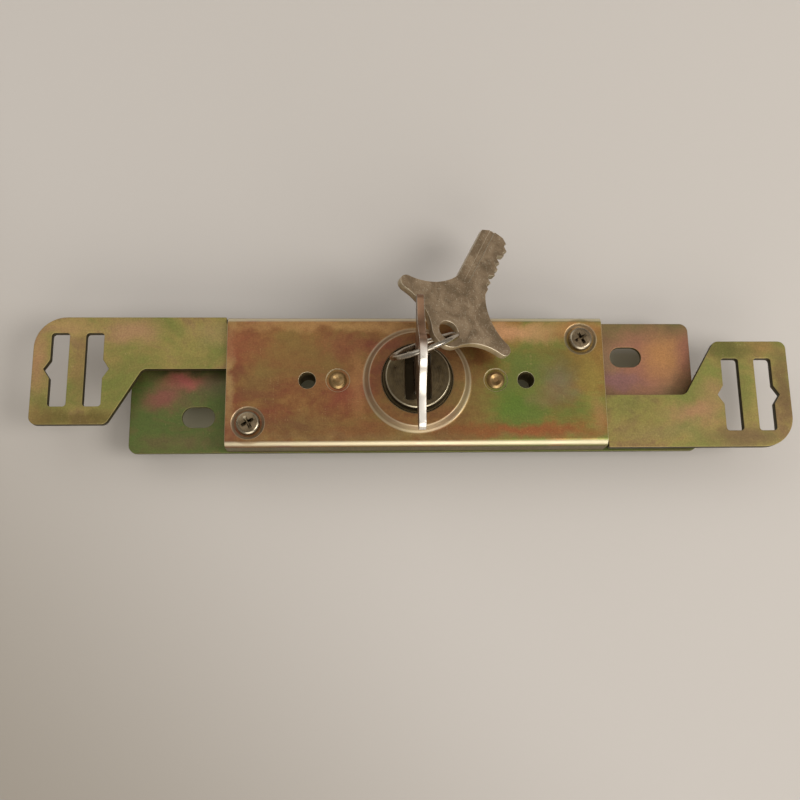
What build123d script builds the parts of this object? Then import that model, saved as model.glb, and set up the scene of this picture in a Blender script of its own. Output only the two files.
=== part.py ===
from build123d import *
from math import atan, cos, pi, radians, sin, sqrt, tan
import os

# All sizes are in millimetres. X runs along the bars, Y across them, and Z out of the
# front face. Z is 0 at the back of the base plate, on the axis of the lock cylinder.

# Cover: a channel with open ends and a drawn collar round the cylinder
cover_length = 96.0
cover_width = 33.8
cover_height = 8.0
cover_wall = 1.2
cover_bend_radius = 1.9
collar_base_radius = 13.5
collar_top_radius = 12.2
collar_height = 1.9
collar_hole_radius = 8.9
dimple_radius = 4.2
dimple_floor_radius = 3.5
dimple_depth = 0.8
rivet_seat_radius = 3.0
rivet_seat_depth = 0.25

# Base plate
base_overhang = 24.9
base_side_lip = 0.3
base_thickness = 1.2
base_corner_radius = 2.2
base_slot_offset = 7.6
base_slot_y = 7.9
base_slot_length = 8.3
base_slot_width = 5.4

# Bars, with a slotted head each
bar_thickness = 2.0
bar_head_room = 0.4
bar_head_length = 48.6
bar_diagonal_top_inset = 27.4
bar_diagonal_bottom_inset = 18.9
head_bottom_y = 10.7
head_big_radius = 8.0
head_small_radius = 2.0
head_slot_width = 4.5
head_slot_top_y = 13.0
head_slot_bottom_y = -6.1
outer_slot_inset = 6.6
inner_slot_inset = 15.2
notch_y = 3.6
notch_depth = 1.6
notch_half_height = 2.4
bar_stop_gap = 0.4
bar_side_gap = 0.3
bar_guide_gap = 0.15
bar_seat_gap = 0.1
bar_end_gap = 3.2
bar_corner_radius = 0.8
bar_shoulder_radius = 0.4

# Drive: a gear on the plug meshes with a rack on each bar
gear_module = 1.0
gear_teeth = 18
pressure_angle = 20.0
tooth_backlash = 0.16
root_clearance = 0.25
flank_steps = 5
tooth_root_overlap = 0.3
turn_angle = 90.0
window_gap = 2.0
gear_key_width = 2.0
gear_key_height = 2.0

# Posts, bushes and screws between base and cover
screw_end_inset = 5.7
screw_side_inset = 6.0
screw_post_radius = 3.0
screw_thread_radius = 1.5
screw_shank_gap = 0.05
screw_shank_length = 4.2
screw_head_radius = 3.05
screw_head_height = 1.8
screw_head_round = 1.1
cross_width = 0.95
cross_length = 3.6
cross_depth = 1.1
cross_angle = 30.0
guide_radius = 3.4
guide_post_gap = 0.4
rivet_neck_radius = 1.6
rivet_head_radius = 2.25
rivet_head_height = 0.9
bush_spacing = 7.7
bush_hole_radius = 2.15
stake_radius = 2.8
stake_gap = 0.05

# Pads under the bars
pad_inner_y = 5.0
pad_edge_gap = 2.0
pad_post_gap = 1.0
pad_flange_gap = 0.8

# Cylinder body, behind and inside the case
body_radius = 12.0
body_neck_step = 0.4
body_shoulder_gap = 0.2
body_fit_gap = 0.05
flange_length = 32.4
flange_side_gap = 0.5
flange_corner_radius = 3.0
flange_rivet_end_inset = 2.6
flange_rivet_side_inset = 3.6
flange_rivet_radius = 0.9
flange_rivet_head_radius = 1.6
flange_rivet_head_depth = 0.7
rear_recess_depth = 2.0
rear_recess_gap = 1.6
back_cap_thickness = 0.4
back_cap_gap = 0.05
back_cap_room = 0.1

# Plug
plug_radius = 6.2
running_gap = 0.05
cutter_reach = 1.0
plug_head_ledge = 2.0
plug_head_thickness = 2.2
plug_head_gap = 0.1
plug_head_chamfer = 0.35
face_recess_width = 6.5
face_recess_length = 12.2
face_recess_depth = 1.3
face_recess_corner = 0.6
keyway_depth = 18.9
keyway_end_wall = 0.8
key_side_gap = 0.08
clip_groove_depth = 1.0
clip_thickness = 0.8
clip_rim = 1.2
clip_gap = 0.08
clip_opening_angle = 50.0

# Front collar bush and turn stop
bush_gap = 0.1
bush_flange_gap = 0.6
stop_pin_radius = 0.55
stop_pin_offset = 0.9
stop_pin_angle = 225.0
stop_groove_half_width = 0.7
stop_groove_depth = 0.7
stop_pin_seat_depth = 1.6

# Pin stacks
pin_count = 4
pin_radius = 0.9
pin_chamber_gap = 0.06
pin_chamber_wall = 0.34
pin_crest_gap = 0.12
shear_gap = 0.06
driver_length = 2.3
spring_gap = 0.05
spring_wire = 0.3
strip_width = 3.1
strip_thickness = 0.7
strip_inset = 0.2
strip_gap = 0.05

# Keys
key_thickness = 1.8
blade_width = 8.6
blade_length = 20.5
blade_tip_width = 3.6
blade_tip_height = 2.0
key_tip_gap = 0.1
bow_half_span = 16.5
bow_arm_height = 32.0
bow_arm_radius = 2.0
bow_lower_hollow = 1.7
bow_upper_hollow = 1.5
key_hole_rise = 5.4
key_hole_radius = 2.6
key_lobe_radius = 4.6
lobe_join_angle = 25.0
key_groove_width = 1.3
key_groove_depth = 0.35
key_groove_u = -1.6
cut_depths = [1.3, 0.7, 1.7, 1.0, 0.5, 1.4, 0.9]
cut_flat = 0.8
cut_slope_width = 0.8
cut_overshoot = 0.01

# Key ring and the spare key that hangs on it
ring_radius = 8.2
wire_radius = 0.65
ring_gap_angle = 3.0
ring_entry_y = 0.9
ring_chord_direction = (0.523, 0.483, -0.702)
ring_chord_angle = 26.2
ring_fall = (0.0, 0.4, -1.0)
spare_arm_direction = (0.822, -0.51, -0.254)
spare_blade_direction = (0.4, 0.834, -0.379)
spare_wire_offset = 1.2

# Places worked out from the sizes above
base_length = cover_length + 2 * base_overhang
base_width = cover_width + 2 * base_side_lip
base_slot_x = cover_length / 2 + base_slot_offset
neck_radius = body_radius - body_neck_step
cover_underside_z = cover_height - cover_wall
case_inner_y = cover_width / 2 - cover_wall
screw_x = cover_length / 2 - screw_end_inset
screw_y = cover_width / 2 - screw_side_inset
flange_width = 2 * (case_inner_y - flange_side_gap)
flange_rivet_x = flange_length / 2 - flange_rivet_end_inset
flange_rivet_y = flange_width / 2 - flange_rivet_side_inset
guide_post_x = flange_length / 2 + guide_radius + guide_post_gap
bush_x = guide_post_x + bush_spacing
bar_top_z = cover_underside_z - bar_head_room
bar_bottom_z = bar_top_z - bar_thickness
seat_z = bar_bottom_z - bar_seat_gap
bar_inner_edge_y = guide_radius + bar_guide_gap
bar_shoulder_x = cover_length / 2 + bar_stop_gap
bar_end_x = screw_x - screw_post_radius - bar_end_gap
bar_reach = cover_length / 2 + bar_head_length
bar_edge_y = base_width / 2
pitch_radius = gear_module * gear_teeth / 2
gear_tip_radius = pitch_radius + gear_module
gear_root_radius = pitch_radius - gear_module - root_clearance
rack_root_y = pitch_radius + gear_module + root_clearance
travel = pitch_radius * radians(turn_angle)
window_left_x = -(gear_tip_radius + window_gap)
window_right_x = gear_tip_radius + window_gap + travel
collar_top_z = cover_height + collar_height
bush_collar_radius = collar_hole_radius - bush_gap
bush_flange_radius = collar_top_radius - cover_wall - bush_flange_gap
plug_head_radius = plug_radius + plug_head_ledge
plug_head_under_z = collar_top_z + plug_head_gap
plug_front_z = plug_head_under_z + plug_head_thickness
stop_pin_track_radius = plug_radius + stop_pin_offset
keyway_end_z = plug_front_z - keyway_depth
plug_rear_z = keyway_end_z - keyway_end_wall
body_rear_z = plug_rear_z - back_cap_room - back_cap_thickness
rear_face_z = body_rear_z + rear_recess_depth
clip_top_z = rear_face_z - clip_gap
clip_groove_radius = plug_radius - clip_groove_depth
clip_outer_radius = plug_radius + clip_rim
rear_recess_radius = clip_outer_radius + rear_recess_gap
key_tip_z = keyway_end_z + key_tip_gap
keyway_half_width = key_thickness / 2 + key_side_gap
keyway_half_height = blade_width / 2 + key_side_gap
pin_chamber_radius = pin_radius + pin_chamber_gap
pin_bottom_y = blade_width / 2 + pin_crest_gap
pin_wall = pin_chamber_wall + pin_chamber_radius
first_pin_z = rear_face_z + pin_wall
pin_pitch = (seat_z - pin_wall - first_pin_z) / (pin_count - 1)
pin_heights = [first_pin_z + i * pin_pitch for i in range(pin_count)]
spring_outer_radius = pin_radius - spring_gap
spring_inner_radius = spring_outer_radius - spring_wire
strip_inner_y = neck_radius - strip_inset - strip_thickness
strip_low_z = first_pin_z - pin_chamber_radius - strip_gap
key_hole_height = bow_arm_height + key_hole_rise


def rod(radius, low_z, high_z, x=0.0, y=0.0):
    """Upright round bar between two heights."""
    return Pos(x, y, low_z) * Cylinder(radius, high_z - low_z, align=(Align.CENTER, Align.CENTER, Align.MIN))


def taper(low_radius, high_radius, low_z, high_z, x=0.0, y=0.0):
    """Upright cone frustum between two heights."""
    return Pos(x, y, low_z) * Cone(
        low_radius, high_radius, high_z - low_z, align=(Align.CENTER, Align.CENTER, Align.MIN)
    )


def block(x_range, y_range, z_range):
    """Box between two corners."""
    size = [high - low for low, high in (x_range, y_range, z_range)]
    centre = [(high + low) / 2 for low, high in (x_range, y_range, z_range)]
    return Pos(*centre) * Box(*size)


def across(radius, low_y, high_y, z):
    """Round bar along Y, from low_y to high_y at height z."""
    return Pos(0, low_y, z) * Rot(-90, 0, 0) * Cylinder(
        radius, high_y - low_y, align=(Align.CENTER, Align.CENTER, Align.MIN)
    )


def pair(shape):
    """The shape and its copy turned half a turn about the cylinder axis."""
    return [shape, Rot(0, 0, 180) * shape]


def save(name, solids):
    """Write one node from a solid or a list of separate solids."""
    solids = solids if isinstance(solids, list) else [solids]
    found = [solid for shape in solids for solid in shape.solids()]
    node = found[0] if len(found) == 1 else Compound(children=found)
    node.label = name
    export_step(node, f"parts/{name}.step")


def base_plate():
    plate = extrude(RectangleRounded(base_length, base_width, base_corner_radius), base_thickness)
    plate -= rod(body_radius + body_fit_gap, 0, base_thickness)
    slot = extrude(SlotOverall(base_slot_length, base_slot_width), base_thickness)
    plate -= pair(Pos(-base_slot_x, -base_slot_y, 0) * slot)
    for x in (-bush_x, bush_x):
        plate -= rod(stake_radius + stake_gap, 0, base_thickness, x)
    plate -= pair(rod(screw_thread_radius + stake_gap, 0, base_thickness, screw_x, screw_y))
    for x, y in flange_rivet_places():
        plate -= rod(flange_rivet_radius, 0, base_thickness, x, y)
        plate -= taper(flange_rivet_head_radius, flange_rivet_radius, 0, flange_rivet_head_depth, x, y)
    return plate


def channel():
    """Cover sheet before it is pierced: a top and two long side walls."""
    outer = Pos(0, 0, (cover_height + base_thickness) / 2) * Box(
        cover_length, cover_width, cover_height - base_thickness
    )
    top_edges = outer.edges().filter_by(Axis.X).sort_by(Axis.Z)[-2:]
    outer = fillet(top_edges, cover_bend_radius)
    inner = Pos(0, 0, (cover_underside_z + base_thickness) / 2) * Box(
        cover_length, 2 * case_inner_y, cover_underside_z - base_thickness
    )
    inner_edges = inner.edges().filter_by(Axis.X).sort_by(Axis.Z)[-2:]
    inner = fillet(inner_edges, cover_bend_radius - cover_wall)
    return outer - inner


def cover_plate():
    cover = channel()
    cover += taper(collar_base_radius, collar_top_radius, cover_underside_z, collar_top_z)
    inner_base = collar_base_radius - cover_wall
    inner_top = collar_top_radius - cover_wall
    cover -= taper(inner_base, inner_top, cover_underside_z, collar_top_z - cover_wall)
    cover -= rod(collar_hole_radius, cover_underside_z, collar_top_z)
    rim = cover.edges().filter_by(GeomType.CIRCLE).group_by(Axis.Z)[-1]
    cover = fillet(rim.sort_by(SortBy.RADIUS)[-1], cover_wall / 2)
    dimple_z = cover_height - dimple_depth
    wall_spread = cover_wall / 2
    for x, y in ((screw_x, screw_y), (-screw_x, -screw_y)):
        cover += taper(
            dimple_floor_radius + wall_spread,
            dimple_radius + wall_spread,
            dimple_z - cover_wall,
            cover_underside_z,
            x,
            y,
        )
        cover -= taper(dimple_floor_radius, dimple_radius, dimple_z, cover_height, x, y)
        cover -= rod(screw_thread_radius + stake_gap, dimple_z - cover_wall, dimple_z, x, y)
    for x in (-guide_post_x, guide_post_x):
        cover -= rod(rivet_seat_radius, cover_height - rivet_seat_depth, cover_height, x)
        cover -= rod(rivet_neck_radius, cover_underside_z, cover_height, x)
    for x in (-bush_x, bush_x):
        cover -= rod(bush_hole_radius, cover_underside_z, cover_height, x)
    return cover


def head_slot(centre_x, notch_side):
    """Cutter for one long slot of the bar head, with a V notch on one side."""
    half = head_slot_width / 2
    height = head_slot_top_y - head_slot_bottom_y
    middle = (head_slot_top_y + head_slot_bottom_y) / 2
    slot = Pos(centre_x, middle) * RectangleRounded(head_slot_width, height, bar_corner_radius)
    side_x = centre_x + notch_side * half
    notch = Polyline(
        (side_x - notch_side * half, notch_y - notch_half_height),
        (side_x, notch_y - notch_half_height),
        (side_x + notch_side * notch_depth, notch_y),
        (side_x, notch_y + notch_half_height),
        (side_x - notch_side * half, notch_y + notch_half_height),
        close=True,
    )
    return slot + make_face(notch)


def rack_tooth(centre_x):
    """One rack tooth in plan, pointing down to the gear from the rack's root line."""
    half_pitch = pi * gear_module / 4 - tooth_backlash / 2
    slope = tan(radians(pressure_angle))
    half_tip = half_pitch - gear_module * slope
    half_root = half_pitch + (gear_module + root_clearance) * slope
    tip_y = pitch_radius - gear_module
    return make_face(
        Polyline(
            (centre_x - half_root, rack_root_y),
            (centre_x - half_tip, tip_y),
            (centre_x + half_tip, tip_y),
            (centre_x + half_root, rack_root_y),
            close=True,
        )
    )


def rack_tooth_places():
    """Tooth centres that keep the rack in mesh from one end of the travel to the other."""
    tooth_pitch = pi * gear_module
    count = int(travel / tooth_pitch) + 4
    return [(i - 1.5) * tooth_pitch for i in range(count)]


def bar_outline():
    """Plan of the left bar: slotted head, wide shank, shoulder, rack window and inner foot."""
    inner_edge = case_inner_y - bar_side_gap
    corners = [
        (-bar_reach, bar_edge_y),
        (-bar_shoulder_x, bar_edge_y),
        (-bar_shoulder_x, inner_edge),
        (bar_end_x, inner_edge),
        (bar_end_x, bar_inner_edge_y),
        (window_right_x, bar_inner_edge_y),
        (window_right_x, rack_root_y),
        (window_left_x, rack_root_y),
        (window_left_x, bar_inner_edge_y),
        (bar_diagonal_top_inset - bar_reach, bar_inner_edge_y),
        (bar_diagonal_bottom_inset - bar_reach, -head_bottom_y),
        (-bar_reach, -head_bottom_y),
    ]
    radii = [
        head_big_radius,
        bar_shoulder_radius,
        bar_shoulder_radius,
        bar_corner_radius,
        bar_corner_radius,
        bar_corner_radius,
        bar_corner_radius,
        bar_corner_radius,
        bar_corner_radius,
        head_small_radius,
        head_small_radius,
        head_small_radius,
    ]
    return make_face(FilletPolyline(*corners, radius=radii, close=True))


def left_bar():
    plan = bar_outline()
    for x in rack_tooth_places():
        plan += rack_tooth(x)
    plan -= head_slot(outer_slot_inset - bar_reach, -1)
    plan -= head_slot(inner_slot_inset - bar_reach, 1)
    return Pos(0, 0, bar_bottom_z) * extrude(plan, bar_thickness)


def involute_angle(radius, base_radius):
    """Angle that an involute has swept when it reaches a radius."""
    roll = sqrt((radius / base_radius) ** 2 - 1)
    return roll - atan(roll)


def gear_tooth():
    """One gear tooth in plan, centred on +Y, with involute flanks."""
    base_radius = pitch_radius * cos(radians(pressure_angle))
    half_pitch_angle = (pi * gear_module / 4 - tooth_backlash / 2) / pitch_radius
    pitch_sweep = involute_angle(pitch_radius, base_radius)
    flank = []
    for i in range(flank_steps + 1):
        radius = base_radius + (gear_tip_radius - base_radius) * i / flank_steps
        flank.append((radius, half_pitch_angle + pitch_sweep - involute_angle(radius, base_radius)))
    flank.insert(0, (gear_root_radius - tooth_root_overlap, flank[0][1]))
    right = [(radius * sin(angle), radius * cos(angle)) for radius, angle in flank]
    left = [(-x, y) for x, y in reversed(right)]
    return make_face(Polyline(*right, *left, close=True))


def drive_gear():
    plan = Circle(gear_root_radius)
    tooth = gear_tooth()
    for i in range(gear_teeth):
        plan += Rot(0, 0, i * 360 / gear_teeth) * tooth
    plan -= Circle(plug_radius + running_gap)
    gear = Pos(0, 0, bar_bottom_z) * extrude(plan, bar_thickness)
    return gear - gear_key_block(running_gap)


def gear_key_block(gap):
    """Parallel key that locks the gear to the plug, grown by a gap for its seats."""
    half = gear_key_width / 2 + gap
    reach = gear_key_height / 2 + gap
    y_range = (-plug_radius - reach, -plug_radius + reach)
    return block((-half, half), y_range, (bar_bottom_z, bar_top_z))


def plug():
    shape = rod(plug_radius, plug_rear_z, plug_head_under_z)
    head = rod(plug_head_radius, plug_head_under_z, plug_front_z)
    head = chamfer(head.edges().filter_by(GeomType.CIRCLE).sort_by(Axis.Z)[-1], plug_head_chamfer)
    shape += head
    recess = RectangleRounded(face_recess_width, face_recess_length, face_recess_corner)
    shape -= Pos(0, 0, plug_front_z - face_recess_depth) * extrude(recess, face_recess_depth)
    shape -= block(
        (-keyway_half_width, keyway_half_width),
        (-keyway_half_height, keyway_half_height),
        (keyway_end_z, plug_front_z),
    )
    for z in pin_heights:
        shape -= across(pin_chamber_radius, 0, plug_radius + cutter_reach, z)
    groove_ring = rod(plug_radius + cutter_reach, clip_top_z - clip_thickness, clip_top_z)
    shape -= groove_ring - rod(clip_groove_radius, clip_top_z - clip_thickness, clip_top_z)
    shape -= gear_key_block(running_gap)
    return shape - stop_groove()


def stop_groove():
    """Arc groove under the plug's head that the stop pin runs in."""
    low_z = plug_head_under_z
    high_z = low_z + stop_groove_depth
    end_angle = (stop_pin_radius + bush_gap) / stop_pin_track_radius * 180 / pi
    start = stop_pin_angle - turn_angle - end_angle
    sweep = turn_angle + 2 * end_angle
    outer = stop_pin_track_radius + stop_groove_half_width
    inner = stop_pin_track_radius - stop_groove_half_width
    ring = rod(outer, low_z, high_z) - rod(inner, low_z, high_z)
    wedge = Pos(0, 0, low_z) * Cylinder(
        outer + cutter_reach, high_z - low_z, arc_size=sweep, align=(Align.NONE, Align.NONE, Align.MIN)
    )
    return ring & (Rot(0, 0, start) * wedge)


def stop_pin_place():
    angle = radians(stop_pin_angle)
    return stop_pin_track_radius * cos(angle), stop_pin_track_radius * sin(angle)


def stop_pin():
    x, y = stop_pin_place()
    low_z = collar_top_z - stop_pin_seat_depth
    return rod(stop_pin_radius, low_z, plug_head_under_z + stop_groove_depth - bush_gap, x, y)


def front_collar():
    """Bush that carries the plug's front end inside the drawn collar."""
    under_z = bar_top_z + bush_gap
    bush = rod(bush_flange_radius, under_z, collar_top_z - cover_wall)
    bush += rod(bush_collar_radius, under_z, collar_top_z)
    bush -= rod(plug_radius + running_gap, under_z, collar_top_z)
    x, y = stop_pin_place()
    return bush - rod(stop_pin_radius, collar_top_z - stop_pin_seat_depth, collar_top_z, x, y)


def cylinder_body():
    body = rod(body_radius, body_rear_z, -body_shoulder_gap)
    body += rod(neck_radius, -body_shoulder_gap, base_thickness)
    flange = RectangleRounded(flange_length, flange_width, flange_corner_radius)
    body += Pos(0, 0, base_thickness) * extrude(flange, seat_z - base_thickness)
    body -= rod(plug_radius + running_gap, body_rear_z, seat_z)
    body -= rod(rear_recess_radius, body_rear_z, rear_face_z)
    for z in pin_heights:
        body -= across(pin_chamber_radius, plug_radius - cutter_reach, strip_inner_y, z)
    half = strip_width / 2 + strip_gap
    body -= block((-half, half), (strip_inner_y, body_radius), (strip_low_z, seat_z))
    for x, y in flange_rivet_places():
        body -= rod(flange_rivet_radius, base_thickness, seat_z, x, y)
        head_z = seat_z - flange_rivet_head_depth
        body -= taper(flange_rivet_radius, flange_rivet_head_radius, head_z, seat_z, x, y)
    return body


def chamber_strip():
    """Flat strip that closes the outer ends of the pin chambers."""
    half = strip_width / 2
    y_range = (strip_inner_y, strip_inner_y + strip_thickness)
    return block((-half, half), y_range, (strip_low_z, seat_z))


def flange_rivet_places():
    return [(sx * flange_rivet_x, sy * flange_rivet_y) for sx in (-1, 1) for sy in (-1, 1)]


def body_rivets():
    """Four flush rivets through the base plate and the body's flange."""
    rivets = []
    for x, y in flange_rivet_places():
        rivet = rod(flange_rivet_radius, 0, seat_z, x, y)
        rivet += taper(flange_rivet_head_radius, flange_rivet_radius, 0, flange_rivet_head_depth, x, y)
        head_z = seat_z - flange_rivet_head_depth
        rivet += taper(flange_rivet_radius, flange_rivet_head_radius, head_z, seat_z, x, y)
        rivets.append(rivet)
    return rivets


def rear_clip():
    ring = rod(clip_outer_radius, clip_top_z - clip_thickness, clip_top_z)
    ring -= rod(clip_groove_radius + running_gap, clip_top_z - clip_thickness, clip_top_z)
    opening = Pos(0, 0, clip_top_z - clip_thickness) * Cylinder(
        clip_outer_radius + cutter_reach,
        clip_thickness,
        arc_size=clip_opening_angle,
        align=(Align.NONE, Align.NONE, Align.MIN),
    )
    return ring - Rot(0, 0, -90 - clip_opening_angle / 2) * opening


def back_cap():
    radius = rear_recess_radius - back_cap_gap
    return rod(radius, body_rear_z, body_rear_z + back_cap_thickness)


def bottom_pins():
    top_y = sqrt(plug_radius**2 - pin_radius**2) - shear_gap / 2
    return [across(pin_radius, pin_bottom_y, top_y, z) for z in pin_heights]


def driver_pins():
    start_y = plug_radius + shear_gap
    return [across(pin_radius, start_y, start_y + driver_length, z) for z in pin_heights]


def pin_springs():
    """Closed-up pin springs, each as one sleeve between its driver and the strip."""
    start_y = plug_radius + shear_gap + driver_length
    springs = []
    for z in pin_heights:
        sleeve = across(spring_outer_radius, start_y, strip_inner_y, z)
        springs.append(sleeve - across(spring_inner_radius, start_y, strip_inner_y, z))
    return springs


def screw_posts():
    """Two tapped posts, staked into the base plate under the cover's dimples."""
    top_z = cover_height - dimple_depth - cover_wall
    post = rod(screw_post_radius, base_thickness, top_z, screw_x, screw_y)
    post += rod(screw_thread_radius + stake_gap, 0, base_thickness, screw_x, screw_y)
    post -= rod(screw_thread_radius, top_z - screw_shank_length, top_z, screw_x, screw_y)
    return pair(post)


def cover_screws():
    """Two cross-recessed pan-head screws, seated in the cover's dimples."""
    head_z = cover_height - dimple_depth
    shank_radius = screw_thread_radius - screw_shank_gap
    head = rod(screw_head_radius, head_z, head_z + screw_head_height)
    head = fillet(head.edges().filter_by(GeomType.CIRCLE).sort_by(Axis.Z)[-1], screw_head_round)
    screw = head + rod(shank_radius, head_z - screw_shank_length, head_z)
    half = cross_length / 2
    top_z = head_z + screw_head_height
    for angle in (cross_angle, cross_angle + 90):
        bar = block((-half, half), (-cross_width / 2, cross_width / 2), (top_z - cross_depth, top_z))
        screw -= Rot(0, 0, angle) * bar
    return pair(Pos(screw_x, screw_y, 0) * screw)


def guide_posts():
    """Posts that guide the bars' inner edges, riveted over on the cover's face."""
    seat = cover_height - rivet_seat_depth
    posts = []
    for x in (-guide_post_x, guide_post_x):
        post = rod(guide_radius, base_thickness, cover_underside_z, x)
        post += rod(rivet_neck_radius, cover_underside_z, seat, x)
        dome_radius = (rivet_head_radius**2 + rivet_head_height**2) / (2 * rivet_head_height)
        dome = Pos(x, 0, seat + rivet_head_height - dome_radius) * Sphere(dome_radius)
        post += dome & rod(rivet_head_radius, seat, seat + rivet_head_height, x)
        posts.append(post)
    return posts


def fixing_bushes():
    """Tubes that keep the case from crushing when bolts go through it."""
    bushes = []
    for x in (-bush_x, bush_x):
        bush = rod(guide_radius, base_thickness, cover_underside_z, x)
        bush += rod(stake_radius, 0, base_thickness, x)
        bushes.append(bush - rod(bush_hole_radius, 0, cover_underside_z, x))
    return bushes


def bar_pads():
    """Four pads on the base plate that carry the bars' undersides."""
    near_x = flange_length / 2 + pad_flange_gap
    y_range = (pad_inner_y, case_inner_y - bar_side_gap)
    z_range = (base_thickness, seat_z)
    left = block((-cover_length / 2 + pad_edge_gap, -near_x), y_range, z_range)
    right = block((near_x, screw_x - screw_post_radius - pad_post_gap), y_range, z_range)
    return pair(left) + pair(right)


def bow_side():
    """Right-hand half of a key's outline, from the blade's tip up to the lobe's top."""
    half_blade = blade_width / 2
    arm_x = bow_half_span - bow_arm_radius
    lobe_angle = radians(lobe_join_angle)
    lobe = (key_lobe_radius * cos(lobe_angle), key_hole_height + key_lobe_radius * sin(lobe_angle))
    arm_low = (arm_x, bow_arm_height - bow_arm_radius)
    arm_high = (arm_x, bow_arm_height + bow_arm_radius)
    lobe_top = (0, key_hole_height + key_lobe_radius)
    mid_angle = (lobe_angle + pi / 2) / 2
    lobe_mid = (key_lobe_radius * cos(mid_angle), key_hole_height + key_lobe_radius * sin(mid_angle))
    return [
        Line((0, 0), (blade_tip_width / 2, 0)),
        Line((blade_tip_width / 2, 0), (half_blade, blade_tip_height)),
        Line((half_blade, blade_tip_height), (half_blade, blade_length)),
        SagittaArc((half_blade, blade_length), arm_low, bow_lower_hollow),
        ThreePointArc(arm_low, (bow_half_span, bow_arm_height), arm_high),
        SagittaArc(arm_high, lobe, bow_upper_hollow),
        ThreePointArc(lobe, lobe_mid, lobe_top),
        Line(lobe_top, (0, 0)),
    ]


def key_cuts():
    """Bitting cutters along the blade's right-hand edge."""
    edge = blade_width / 2
    cutters = []
    for i, depth in enumerate(cut_depths):
        height = first_pin_z - key_tip_z + i * pin_pitch
        reach = cut_flat / 2 + cut_slope_width * depth
        cutters.append(
            make_face(
                Polyline(
                    (edge - depth, height - cut_flat / 2),
                    (edge - depth, height + cut_flat / 2),
                    (edge + cut_overshoot, height + reach),
                    (edge + cut_overshoot, height - reach),
                    close=True,
                )
            )
        )
    return cutters


def key_blank():
    """Key lying in the XY plane, blade tip at the origin and bow up along +Y."""
    right = make_face(Curve() + bow_side())
    plan = right + mirror(right, about=Plane.YZ)
    plan -= Pos(0, key_hole_height) * Circle(key_hole_radius)
    for cutter in key_cuts():
        plan -= cutter
    key = Pos(0, 0, -key_thickness / 2) * extrude(plan, key_thickness)
    u_range = (key_groove_u - key_groove_width / 2, key_groove_u + key_groove_width / 2)
    for side in (-1, 1):
        z_far = side * (key_thickness / 2)
        z_near = side * (key_thickness / 2 - key_groove_depth)
        z_range = (min(z_far, z_near), max(z_far, z_near))
        key -= block(u_range, (0, blade_length), z_range)
    return key


def key_in_lock():
    upright = Plane(origin=(0, 0, key_tip_z), x_dir=(0, 1, 0), z_dir=(1, 0, 0))
    return upright.location * key_blank()


def ring_points():
    """Where the ring's wire crosses the hole of each key."""
    first = Vector(0, ring_entry_y, key_tip_z + key_hole_height)
    chord_length = 2 * ring_radius * cos(radians(ring_chord_angle))
    return first, first + Vector(*ring_chord_direction).normalized() * chord_length


def spare_plane():
    """Plane of the spare key: X along its bow's arms, Y from the blade towards the bow."""
    arm = Vector(*spare_arm_direction).normalized()
    back = Vector(*spare_blade_direction) * -1
    normal = arm.cross(back).normalized()
    up = normal.cross(arm)
    wire = ring_points()[1]
    origin = wire - arm * spare_wire_offset - up * key_hole_height
    return Plane(origin=origin, x_dir=arm, z_dir=normal)


def spare_key():
    return spare_plane().location * key_blank()


def ring_plane():
    """Plane of the ring, which falls from the first key's hole and passes the second's."""
    first, second = ring_points()
    chord = (second - first).normalized()
    normal = chord.cross(Vector(*ring_fall)).normalized()
    drop = ring_radius * sin(radians(ring_chord_angle))
    centre = (first + second) * 0.5 + normal.cross(chord) * drop
    return Plane(origin=centre, z_dir=normal)


def key_ring():
    """Bent wire ring with its two ends butted together."""
    section = Plane.XZ * Pos(ring_radius, 0) * Circle(wire_radius)
    ring = revolve(section, Axis.Z, 360 - ring_gap_angle)
    return ring_plane().location * ring


os.makedirs("parts", exist_ok=True)
one_bar = left_bar()
save("base_plate", base_plate())
save("cover_plate", cover_plate())
save("left_bar", one_bar)
save("right_bar", Rot(0, 0, 180) * one_bar)
save("drive_gear", drive_gear())
save("gear_key", gear_key_block(0))
save("plug", plug())
save("stop_pin", stop_pin())
save("front_collar", front_collar())
save("cylinder_body", cylinder_body())
save("chamber_strip", chamber_strip())
save("body_rivets", body_rivets())
save("rear_clip", rear_clip())
save("back_cap", back_cap())
save("bottom_pins", bottom_pins())
save("driver_pins", driver_pins())
save("pin_springs", pin_springs())
save("screw_posts", screw_posts())
save("cover_screws", cover_screws())
save("guide_posts", guide_posts())
save("fixing_bushes", fixing_bushes())
save("bar_pads", bar_pads())
save("key_in_lock", key_in_lock())
save("spare_key", spare_key())
save("key_ring", key_ring())

first_hole, second_hole = ring_points()
spare_frame = spare_plane()
print("ring centre", ring_plane().origin, "normal", ring_plane().z_dir)
print("wire crosses the keys' holes at", first_hole, second_hole)
print("spare key blade tip", spare_frame.origin, "up", spare_frame.y_dir)
print("bar travel", round(travel, 3), "bar top", bar_top_z, "key tip", key_tip_z)
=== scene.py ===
import math

import bmesh
import bpy
from mathutils import Matrix, Vector
from mathutils.geometry import area_tri, delaunay_2d_cdt


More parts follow.
